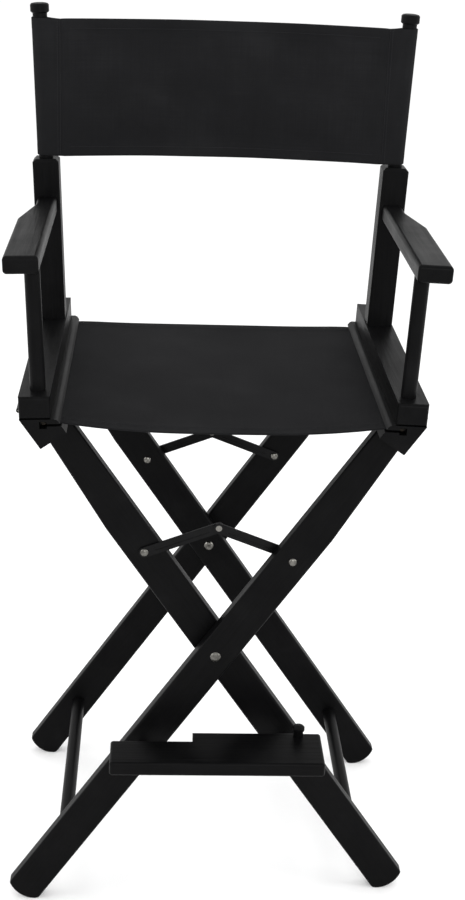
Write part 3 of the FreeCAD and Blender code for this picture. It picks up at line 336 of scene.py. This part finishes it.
def canvas_cloth():
    material, tree, shader = new_finish(
        "black_canvas", (0.0120, 0.0122, 0.0132), roughness=0.92, specular=0.04,
        sheen=0.01, sheen_roughness=0.5)
    cloth = add_node(tree, "ShaderNodeUVMap", {"uv_map": "cloth"}), "UV"
    split = add_node(tree, "ShaderNodeSeparateXYZ", Vector=cloth)
    turns = []
    for side in ("X", "Y"):
        turns.append(sums(tree, "MULTIPLY", (split, side), math.pi / YARN))
    warp = sums(tree, "ABSOLUTE", sums(tree, "SINE", turns[0]))
    weft = sums(tree, "ABSOLUTE", sums(tree, "SINE", turns[1]))
    over = add_node(tree, "ShaderNodeTexChecker", Vector=cloth,
                    Scale=1 / YARN), "Fac"
    relief = add_node(tree, "ShaderNodeMix", {"data_type": "FLOAT"},
                      _0=over, _2=warp, _3=weft), 0
    long_slubs = add_node(tree, "ShaderNodeMapping", {"vector_type": "TEXTURE"},
                          Vector=cloth, Scale=Vector((0.09, 0.0012, 1.0))), "Vector"
    cross_slubs = add_node(tree, "ShaderNodeMapping", {"vector_type": "TEXTURE"},
                           Vector=cloth, Scale=Vector((0.0012, 0.09, 1.0))), "Vector"
    slubs = sums(tree, "MULTIPLY", noise(tree, long_slubs, 1.0, 2.0),
                 noise(tree, cross_slubs, 1.0, 2.0))
    # Broad lighter and darker patches are painted into the colour to stand in for the
    # light and shade that soft folds catch: painted light and shade, added to the slub
    # tone.
    painted_fold_shading = noise(tree, cloth, 9.0, 4.0, 0.55)
    slub_tone_and_fold_shading = sums(tree, "MULTIPLY_ADD", slubs, 0.5,
                sums(tree, "MULTIPLY", painted_fold_shading, 0.75))
    colour = ramp(tree, slub_tone_and_fold_shading, [(0.25, (0.0082, 0.0083, 0.0090)),
                               (0.50, (0.0110, 0.0111, 0.0119)),
                               (0.80, (0.0170, 0.0172, 0.0183))])
    # The hollows between the yarns, where the relief is low, are darkened in the
    # colour: painted shade in the weave, laid over the cloth's own tone.
    painted_weave_shade = ramp(tree, relief, [(0.0, (0.55, 0.55, 0.55)), (0.55, (1, 1, 1))])
    coloured = add_node(tree, "ShaderNodeMix",
                    {"data_type": "RGBA", "blend_type": "MULTIPLY"},
                    _0=0.8, _6=colour, _7=painted_weave_shade)
    tree.links.new(coloured.outputs[2], shader.inputs["Base Color"])
    nap = bump(tree, relief, 0.55, 0.00022)
    yarns = bump(tree, slubs, 0.20, 0.00025, nap)
    tree.links.new(yarns[0].outputs[0], shader.inputs["Normal"])
    return material


# %% Sewing thread
def sewing_thread():
    material, tree, shader = new_finish(
        "sewing_thread", (0.014, 0.014, 0.015), roughness=0.6, specular=0.1,
        sheen=0.02, sheen_roughness=0.4)
    place = add_node(tree, "ShaderNodeTexCoord"), "Object"
    fuzz = noise(tree, place, 2600.0, 3.0)
    colour = ramp(tree, fuzz, [(0.3, (0.010, 0.010, 0.011)),
                               (0.7, (0.019, 0.019, 0.021))])
    tree.links.new(colour[0].outputs["Color"], shader.inputs["Base Color"])
    skin = bump(tree, fuzz, 0.5, 0.0001)
    tree.links.new(skin[0].outputs[0], shader.inputs["Normal"])
    return material


canvas = canvas_cloth()
thread = sewing_thread()

# %% [markdown]
# ## Giving the CAD parts their finish
# Each CAD node keeps its mesh and only swaps its material.  The wooden pieces
# are sorted by the direction their grain runs in; the rest goes by the slot
# name that the record gives.

# %% Finish the CAD parts
GRAIN_OF = {"inner_front_leg": "inner_leg", "inner_rear_leg": "inner_leg",
            "outer_front_leg": "outer_leg", "outer_rear_leg": "outer_leg",
            "footrest_board": "across", "footrest_knob": "upright"}
UPRIGHT_WORDS = ("post", "spindle", "finial")
slot_of = {part["node"]: part["material_slot"] for part in record["subparts"]}
FINISH_OF_SLOT = {"black_steel": enamel, "bright_steel": nickel,
                  "raw_wood": hardwood, "canvas": canvas}


def finish_of(name):
    if slot_of[name] != "painted_wood":
        return FINISH_OF_SLOT[slot_of[name]]
    if name in GRAIN_OF:
        return paints[GRAIN_OF[name]]
    upright = any(word in name for word in UPRIGHT_WORDS)
    return paints["upright" if upright else "depth"]


for name, part in nodes.items():
    material = finish_of(name)
    part.data.materials.clear()
    part.data.materials.append(material)
print(len(nodes), "CAD parts finished")

# %% [markdown]
# ## A way to make cloth
# Every canvas piece here is a strip that follows a line: the seat runs from
# one hem stick to the other, a sleeve runs round its post.  The helper takes a
# grid of points on the middle of the cloth, offsets it to both sides by half
# the thickness, and closes the rim with a rounded edge, because a folded hem
# is round and never sharp.  UVs are the running lengths along the grid.

# %% Cloth from a grid
def grid_normals(points):
    """Unit normals of a grid of points, rows x columns x 3."""
    along = np.gradient(points, axis=1)
    across = np.gradient(points, axis=0)
    normal = np.cross(along, across)
    return normal / np.linalg.norm(normal, axis=2, keepdims=True)


def rim_bulge(edge_points, inner_points, amount):
    """Moves the middle of an edge outwards, away from its inner neighbours."""
    away = edge_points - inner_points
    away /= np.linalg.norm(away, axis=-1, keepdims=True)
    return edge_points + away * amount


def cloth_piece(name, points, thickness):
    """Closed cloth mesh round a grid of middle points; thickness may vary."""
    rows, columns = points.shape[:2]
    normal = grid_normals(points)
    half = (np.broadcast_to(thickness, (rows, columns)) / 2)[..., None]
    upper = points + normal * half
    lower = points - normal * half
    ring = ([(0, c) for c in range(columns)]
            + [(r, columns - 1) for r in range(1, rows)]
            + [(rows - 1, c) for c in range(columns - 2, -1, -1)]
            + [(r, 0) for r in range(rows - 2, 0, -1)])
    inner = [(min(max(r, 1), rows - 2), min(max(c, 1), columns - 2)) for r, c in ring]
    edge = np.array([points[r, c] for r, c in ring])
    inside = np.array([points[r, c] for r, c in inner])
    bulge = np.array([half[r, c] for r, c in ring])
    middle = rim_bulge(edge, inside, bulge)
    vertices = np.concatenate([upper.reshape(-1, 3), lower.reshape(-1, 3), middle])
    count = rows * columns
    faces = []
    for r in range(rows - 1):
        for c in range(columns - 1):
            a, b = r * columns + c, r * columns + c + 1
            d, e = a + columns, b + columns
            faces.append((a, b, e, d))
            faces.append((count + d, count + e, count + b, count + a))
    size = len(ring)
    for k in range(size):
        following = (k + 1) % size
        a = ring[k][0] * columns + ring[k][1]
        b = ring[following][0] * columns + ring[following][1]
        m, n = 2 * count + k, 2 * count + following
        faces.append((b, a, m, n))
        faces.append((a + count, b + count, n, m))
    mesh = bpy.data.meshes.new(name)
    mesh.from_pydata([tuple(v) for v in vertices], [], faces)
    lengths_u = np.concatenate([np.zeros((rows, 1)), np.cumsum(np.linalg.norm(
        np.diff(points, axis=1), axis=2), axis=1)], axis=1)
    lengths_v = np.concatenate([np.zeros((1, columns)), np.cumsum(np.linalg.norm(
        np.diff(points, axis=0), axis=2), axis=0)], axis=0)
    flat = np.stack([lengths_u, lengths_v], axis=2).reshape(-1, 2)
    rim = np.array([[lengths_u[r, c], lengths_v[r, c]] for r, c in ring])
    table = np.concatenate([flat, flat, rim])
    layer = mesh.uv_layers.new(name="cloth")
    corners = np.zeros(len(mesh.loops), np.int32)
    mesh.loops.foreach_get("vertex_index", corners)
    layer.data.foreach_set("uv", table[corners].astype(np.float32).ravel())
    work = bmesh.new()
    work.from_mesh(mesh)
    bmesh.ops.recalc_face_normals(work, faces=work.faces)
    work.to_mesh(mesh)
    work.free()
    mesh.polygons.foreach_set("use_smooth", [True] * len(mesh.polygons))
    mesh.materials.append(canvas)
    piece = bpy.data.objects.new(name, mesh)
    bpy.context.scene.collection.objects.link(piece)
    return piece, float(lengths_u[:, -1].mean()), float(lengths_v[-1, :].mean())


# %% [markdown]
# ## The seat
# The seat is one width of canvas.  Each side edge is sewn into a loop round a
# hem stick, and the loop sits in a chamber inside the seat rail; the cloth
# leaves through the rail's slot.  It sags more at the front than at the back.
# Front and rear edges are turned under once and sewn, which makes a band twice
# as thick.  The line below is drawn for the left half and mirrored, and every
# row front to back gets its own sag.

# %% Seat line
CLOTH = 1.0 * MM
LEAN = math.radians(2.0)
stick_low, stick_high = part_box("seat_hem_stick_left")
seat_low, seat_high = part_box("seat_canvas")
stick_middle = (stick_low + stick_high) / 2
stick_radius = (stick_high.x - stick_low.x) / 2
LOOP_RADIUS = stick_radius + 0.15 * MM + CLOTH / 2
THROAT_GAP = 3.2 * MM
MOUTH_RUN = 23.5 * MM
LOOP_START, LOOP_STEP, LOOP_POINTS = -150.0, 17.0, 13
SPAN_POINTS = 56
SAG_POWER = 2.2
WAVES_GROW = 8
SAG_FRONT = 11.5 * MM
SAG_REAR = 1.0 * MM


def soft_waves(x, y):
    """Shallow folds that tension leaves in the seat cloth."""
    return 0.55 * MM * (math.sin(21 * x + 9 * y + 0.7) * math.sin(13 * y + 1.1)
                        + 0.5 * math.sin(-34 * x + 26 * y))


def seat_row(y, sag):
    """One row of the seat's middle line at depth y."""
    slope = Vector((math.cos(LEAN), 0, math.sin(LEAN)))
    throat = stick_middle + slope * (LOOP_RADIUS + THROAT_GAP)
    mouth = stick_middle + slope * MOUTH_RUN
    loop = []
    for step in range(LOOP_POINTS):
        angle = math.radians(LOOP_START - step * LOOP_STEP) + LEAN
        loop.append(stick_middle + LOOP_RADIUS * Vector(
            (math.cos(angle), 0, math.sin(angle))))
    run = loop + [throat, (throat + mouth) / 2, mouth]
    for step in range(1, SPAN_POINTS + 1):
        share = 1 - step / SPAN_POINTS
        x = mouth.x * share
        lift = soft_waves(x, y) * min(1.0, (1 - share) * WAVES_GROW)
        run.append(Vector((x, 0, mouth.z - sag * (1 - share ** SAG_POWER) + lift)))
    full = run + [Vector((-p.x, 0, p.z)) for p in reversed(run[:-1])]
    return [(p.x, y, p.z) for p in full]


# %% Seat cloth
HEM = 20.0 * MM
FOLDED_HEM = 1.9 * CLOTH
LOOP_REACH = 16 * MM
FRONT_ROWS, MIDDLE_ROWS, REAR_ROWS = 8, 84, 9
rows_y = []
front_y, rear_y = seat_low.y, seat_high.y
for band_start, band_end, count in ((front_y, front_y + HEM, FRONT_ROWS),
                                    (front_y + HEM, rear_y - HEM, MIDDLE_ROWS),
                                    (rear_y - HEM, rear_y, REAR_ROWS)):
    rows_y += list(np.linspace(band_start, band_end, count, endpoint=False))
rows_y = np.array(rows_y[:-1] + [rear_y])


def seat_sag_at(y):
    """Sag of the row at depth y, most at the front."""
    share = (y - front_y) / (rear_y - front_y)
    return SAG_FRONT + (SAG_REAR - SAG_FRONT) * share ** 0.8


seat_grid = np.array([seat_row(y, seat_sag_at(y)) for y in rows_y])
in_hem = np.minimum(rows_y - front_y, rear_y - rows_y) < HEM
seat_thickness = np.where(in_hem, FOLDED_HEM, CLOTH)[:, None]
in_loop = np.abs(seat_grid[:, :, 0]) > abs(stick_middle.x) - LOOP_REACH
seat_thickness = np.where(in_loop, CLOTH, seat_thickness)
seat_cloth, seat_width, seat_length = cloth_piece(
    "seat_cloth", seat_grid, seat_thickness)
print("seat cloth", round(seat_width, 3), "by", round(seat_length, 3), "m,",
      len(seat_cloth.data.polygons), "faces")

# %% [markdown]
# ## The back
# The back is one panel with a sleeve at each end.  The cloth runs round the
# turned post, comes back behind it and is sewn to the panel, so the front shows
# a line of stitches beside each post.  When the real chair folds, its posts come
# together and only the panel between the two seams crumples, so the sleeves
# must stay round and ride with their posts.  Here the cloth is made as three
# pieces that meet exactly on the seams: each sleeve rides with its own arm frame,
# and the panel with the left one.  The posts lean a little, but both seams stand
# upright at one distance from the middle, so the panel between them is a rectangle.

# %% Back line
post_low, post_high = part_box("back_post_left")
finial_low, finial_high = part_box("finial_left")
back_low, back_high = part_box("back_canvas")
SLEEVE_RADIUS = 10.05 * MM + CLOTH / 2
SEAM_RUN = 25.0 * MM
POST_DEPTH = (post_low.y + post_high.y) / 2
finial_middle = (finial_low + finial_high) / 2


def post_axis(z):
    """Middle of the left post's turned part at height z."""
    return finial_middle.x + (finial_middle.z - z) * math.tan(LEAN)


back_bottom = back_low.z + 2.0 * MM
back_top = back_high.z - 1.0 * MM
seam_across = post_axis((back_bottom + back_top) / 2) + SEAM_RUN
TOP_BOW, BOTTOM_BOW = 3.0 * MM, 4.0 * MM
FOLD_DEPTH = 2.2 * MM
PANEL_BELLY = 1.6 * MM


def edge_shape(share_x, share_z):
    """How far the panel's top and bottom edges bow, zero at the posts."""
    bow = 1 - share_x ** 2
    return TOP_BOW * bow * share_z + BOTTOM_BOW * bow * (1 - share_z)


def tension_folds(share_x, share_z):
    """Depth of the long flat folds between the posts."""
    fade = 1 - share_x ** 4
    folds = (math.sin(2.3 * math.pi * share_z + 0.8 + 0.5 * share_x)
             + 0.55 * math.sin(5.1 * math.pi * share_z - 1.1 * share_x)
             + 0.35 * math.sin(9.0 * share_x + 4.0 * share_z))
    return FOLD_DEPTH * fade * folds


# %% Back panel
HEM_BACK = 14.0 * MM
PANEL_ROWS = 47
PANEL_COLUMNS = 101
front_plane = POST_DEPTH - SLEEVE_RADIUS
heights = np.linspace(back_bottom, back_top, PANEL_ROWS)
panel_grid = np.zeros((PANEL_ROWS, PANEL_COLUMNS, 3))
for r, z in enumerate(heights):
    share_z = (z - back_bottom) / (back_top - back_bottom)
    for c, share_x in enumerate(np.linspace(-1, 1, PANEL_COLUMNS)):
        panel_grid[r, c] = (
            share_x * abs(seam_across),
            front_plane + PANEL_BELLY * (1 - share_x ** 2)
            + tension_folds(share_x, share_z),
            z + edge_shape(share_x, share_z))
near_edge = np.minimum(heights - back_bottom, back_top - heights) < HEM_BACK
panel_thickness = np.where(near_edge, FOLDED_HEM, CLOTH)[:, None]
back_panel, panel_width, panel_height = cloth_piece(
    "back_panel", panel_grid, panel_thickness)
print("back panel", round(panel_width, 3), "by", round(panel_height, 3), "m")

# %% Back sleeves
FLAT_STEPS = 8
ROUND_STEPS, ROUND_STEP = 25, 7.5
SEAM_SHORT = 1.5 * MM
SEAM_GAP = CLOTH * 1.35
SLEEVE_HEM = CLOTH * 1.25


def sleeve_row(z):
    """From the seam in front, round the post, back to the seam behind."""
    axis = post_axis(z)
    run = seam_across - axis
    line = [(seam_across - k * run / FLAT_STEPS, front_plane)
            for k in range(FLAT_STEPS)]
    for step in range(ROUND_STEPS):
        angle = math.radians(-90 - step * ROUND_STEP)
        line.append((axis + SLEEVE_RADIUS * math.cos(angle),
                     POST_DEPTH + SLEEVE_RADIUS * math.sin(angle)))
    for k in range(1, FLAT_STEPS + 1):
        share = k / FLAT_STEPS
        ease = share * share * (3 - 2 * share)
        line.append((axis + (run - SEAM_SHORT) * share, POST_DEPTH + SLEEVE_RADIUS
                     - ease * (2 * SLEEVE_RADIUS - SEAM_GAP)))
    return [(x, y, z) for x, y in line]


def sleeve_piece(name, side):
    """The left sleeve, or its mirror image when side is positive."""
    grid = np.array([sleeve_row(z) for z in heights])
    if side > 0:
        grid[:, :, 0] *= -1
        grid = grid[:, ::-1]
    return cloth_piece(name, grid, np.where(near_edge, SLEEVE_HEM, CLOTH)[:, None])


sleeve_left, sleeve_width, sleeve_height = sleeve_piece("back_sleeve_left", -1)
sleeve_right, _, _ = sleeve_piece("back_sleeve_right", 1)
print("sleeve", round(sleeve_width, 3), "m round its post")

# %% [markdown]
# ## Stitches
# A seam is one short thread after another, so it is a job for Geometry Nodes:
# a curve is resampled at the stitch spacing, a small capsule is placed on every
# point and turned along the curve, and the copies are made real.  The spacing,
# length and thickness are named inputs of the tree.  The result is turned into
# a plain mesh, one for each body, because the export drops instances.

# %% Stitch tree
STITCH_SPACING = 3.4 * MM
STITCH_LENGTH = 2.5 * MM
STITCH_RADIUS = 0.42 * MM


def stitch_tree():
    """Node tree that turns a curve into a row of stitches."""
    tree = bpy.data.node_groups.new("stitch_row", "GeometryNodeTree")
    interface = tree.interface
    interface.new_socket("Geometry", in_out="INPUT", socket_type="NodeSocketGeometry")
    for title, start in (("Spacing", STITCH_SPACING),
                         ("Stitch length", STITCH_LENGTH),
                         ("Thread radius", STITCH_RADIUS)):
        made = interface.new_socket(title, in_out="INPUT",
                                    socket_type="NodeSocketFloat")
        made.default_value = start
    interface.new_socket("Geometry", in_out="OUTPUT", socket_type="NodeSocketGeometry")
    given = tree.nodes.new("NodeGroupInput")
    result = tree.nodes.new("NodeGroupOutput")
    points = add_node(tree, "GeometryNodeResampleCurve", {"mode": "LENGTH"},
                      Curve=(given, "Geometry"), Length=(given, "Spacing"))
    tangent = tree.nodes.new("GeometryNodeInputTangent")
    turn = add_node(tree, "FunctionNodeAlignEulerToVector", {"axis": "Z"},
                    Vector=(tangent, "Tangent"))
    capsule = add_node(tree, "GeometryNodeMeshUVSphere", Segments=8, Rings=5,
                       Radius=0.5)
    stretch = add_node(tree, "ShaderNodeCombineXYZ")
    wide = add_node(tree, "ShaderNodeMath", {"operation": "MULTIPLY"},
                    _0=(given, "Thread radius"), _1=2.0)
    for axis in ("X", "Y"):
        tree.links.new(wide.outputs[0], stretch.inputs[axis])
    tree.links.new(given.outputs["Stitch length"], stretch.inputs["Z"])
    copies = add_node(tree, "GeometryNodeInstanceOnPoints",
                      Points=(points, "Curve"), Instance=(capsule, "Mesh"),
                      Rotation=(turn, "Rotation"), Scale=(stretch, "Vector"))
    real = add_node(tree, "GeometryNodeRealizeInstances",
                    Geometry=(copies, "Instances"))
    smooth = add_node(tree, "GeometryNodeSetShadeSmooth", _0=(real, "Geometry"))
    coloured = add_node(tree, "GeometryNodeSetMaterial", Geometry=(smooth, 0),
                    Material=thread)
    tree.links.new(coloured.outputs[0], result.inputs[0])
    return tree


stitches = stitch_tree()
socket_of = {item.name: item.identifier for item in stitches.interface.items_tree
             if item.in_out == "INPUT"}


def sew(name, lines):
    """Stitches along each line of points, as one plain mesh."""
    curve = bpy.data.curves.new(f"{name}_line", "CURVE")
    curve.dimensions = "3D"
    for line in lines:
        spline = curve.splines.new("POLY")
        spline.points.add(len(line) - 1)
        for point, place in zip(spline.points, line):
            point.co = (*place, 1)
    guide = bpy.data.objects.new(f"{name}_guide", curve)
    bpy.context.scene.collection.objects.link(guide)
    modifier = guide.modifiers.new("stitches", "NODES")
    modifier.node_group = stitches
    modifier[socket_of["Spacing"]] = STITCH_SPACING
    graph = bpy.context.evaluated_depsgraph_get()
    mesh = bpy.data.meshes.new_from_object(guide.evaluated_get(graph))
    mesh.name = name
    bpy.data.objects.remove(guide)
    piece = bpy.data.objects.new(name, mesh)
    bpy.context.scene.collection.objects.link(piece)
    print(name, len(mesh.polygons), "faces")
    return piece


# %% Sew the seat
def surface_line(grid, thickness, row_share, columns, lift):
    """Line on the upper side of a grid along one row given as a share."""
    normal = grid_normals(grid)
    r = row_share * (grid.shape[0] - 1)
    low, part = int(r), r - int(r)
    high = min(low + 1, grid.shape[0] - 1)
    line = []
    for c in columns:
        p = grid[low, c] * (1 - part) + grid[high, c] * part
        t = float(np.broadcast_to(thickness, grid.shape[:2])[low, c])
        line.append(tuple(p + normal[low, c] * (t / 2 + lift)))
    return line


def row_at(values, wanted):
    """Share of the way through a rising list where a value lies."""
    return float(np.interp(wanted, values, np.arange(len(values)))) / (len(values) - 1)


RAIL_REACH = 22 * MM
THREAD_LIFT = 0.12 * MM
HEM_INSETS = (2.5 * MM, 5.5 * MM)
visible = [c for c in range(seat_grid.shape[1])
           if abs(seat_grid[0, c, 0]) < abs(stick_middle.x) - RAIL_REACH]
seat_lines = []
for inset in HEM_INSETS:
    distance = HEM - inset
    for y in (front_y + distance, rear_y - distance):
        seat_lines.append(surface_line(seat_grid, seat_thickness, row_at(rows_y, y),
                                       visible, THREAD_LIFT))
seat_stitches = sew("seat_stitches", seat_lines)

# %% Sew the back
STITCHES_IN = HEM_BACK - 2.5 * MM
CLEAR_COLUMNS = 3
SEAM_INSETS = (1.5 * MM, 5.0 * MM)
SEAM_END = 3 * MM
SEAM_POINTS = 40
# The rows stop a few columns short of the seams, clear of the sleeves.
sewn_columns = range(CLEAR_COLUMNS, PANEL_COLUMNS - CLEAR_COLUMNS)
panel_lines = []
for z in (back_bottom + STITCHES_IN, back_top - STITCHES_IN):
    panel_lines.append(surface_line(panel_grid, panel_thickness, row_at(heights, z),
                                    sewn_columns, THREAD_LIFT))


def seam_line(side, inset):
    """Upright line of stitches on the front of a sleeve, near its seam."""
    x = (seam_across - inset) * (-side)
    return [(x, front_plane - CLOTH / 2 - THREAD_LIFT, z)
            for z in np.linspace(back_bottom + SEAM_END, back_top - SEAM_END,
                                 SEAM_POINTS)]


back_stitches = sew("back_stitches", panel_lines)
seam_stitches_left = sew("sleeve_stitches_left",
                         [seam_line(-1, inset) for inset in SEAM_INSETS])
seam_stitches_right = sew("sleeve_stitches_right",
                          [seam_line(1, inset) for inset in SEAM_INSETS])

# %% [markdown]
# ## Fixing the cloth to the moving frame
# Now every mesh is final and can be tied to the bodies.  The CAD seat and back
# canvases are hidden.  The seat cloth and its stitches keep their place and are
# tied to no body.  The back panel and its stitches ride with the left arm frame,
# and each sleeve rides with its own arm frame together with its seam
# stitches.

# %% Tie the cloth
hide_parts("seat_canvas")
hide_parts("back_canvas")
for piece in (seat_cloth, seat_stitches):
    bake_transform(piece)

for piece in (back_panel, back_stitches):
    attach(piece, "arm_frame_left")
    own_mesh(piece)
for piece, body in ((sleeve_left, "arm_frame_left"),
                    (seam_stitches_left, "arm_frame_left"),
                    (sleeve_right, "arm_frame_right"),
                    (seam_stitches_right, "arm_frame_right")):
    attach(piece, body)

# %% [markdown]
# ## Floor, light and world
# A pale floor runs far back so that it fills the view behind the chair.  The
# bright world does most of the lighting.  One broad lamp overhead, one on each
# side and a weak one in front add soft highlights on the armrests and along the
# upper edges of the legs, and keep the front faces readable.

# %% Stage
def pale_floor():
    material, tree, shader = new_finish(
        "pale_floor", (0.96, 0.96, 0.96), roughness=0.9, specular=0.1)
    place = add_node(tree, "ShaderNodeTexCoord"), "Object"
    cloudy = noise(tree, place, 2.0, 2.0)
    colour = ramp(tree, cloudy, [(0.3, (0.95, 0.95, 0.95)),
                                 (0.7, (0.97, 0.97, 0.97))])
    tree.links.new(colour[0].outputs["Color"], shader.inputs["Base Color"])
    return material


FLOOR_HALF = 70.0
FLOOR_DROP = 0.0004
WORLD_STRENGTH = 1.08
floor_mesh = bpy.data.meshes.new("floor")
floor_mesh.from_pydata([(-FLOOR_HALF, -FLOOR_HALF, 0), (FLOOR_HALF, -FLOOR_HALF, 0),
                        (FLOOR_HALF, FLOOR_HALF, 0), (-FLOOR_HALF, FLOOR_HALF, 0)],
                       [], [(0, 1, 2, 3)])
floor_mesh.materials.append(pale_floor())
floor = bpy.data.objects.new("floor", floor_mesh)
floor.location.z = -FLOOR_DROP
bpy.context.scene.collection.objects.link(floor)


def soft_lamp(name, place, target, size, watts):
    """A rectangular lamp turned towards its target."""
    lamp = bpy.data.lights.new(name, "AREA")
    lamp.shape = "RECTANGLE"
    lamp.size, lamp.size_y = size
    lamp.energy = watts
    holder = bpy.data.objects.new(name, lamp)
    holder.location = place
    direction = Vector(target) - Vector(place)
    holder.rotation_euler = direction.to_track_quat("-Z", "Y").to_euler()
    bpy.context.scene.collection.objects.link(holder)


soft_lamp("overhead", (0.0, 0.9, 3.4), (0, 0.1, 0.4), (3.2, 2.4), 15)
soft_lamp("left_wall", (-2.6, -0.4, 1.9), (0, 0, 0.6), (1.6, 2.2), 24)
soft_lamp("right_wall", (2.6, -0.4, 1.9), (0, 0, 0.6), (1.6, 2.2), 24)
soft_lamp("front_fill", (0.5, -3.2, 1.9), (0, 0, 0.95), (1.8, 0.9), 34)
world = bpy.data.worlds.new("studio")
world.use_nodes = True
background = world.node_tree.nodes["Background"]
background.inputs["Color"].default_value = (1, 1, 1, 1)
background.inputs["Strength"].default_value = WORLD_STRENGTH
bpy.context.scene.world = world
bpy.context.scene.view_settings.view_transform = "Standard"
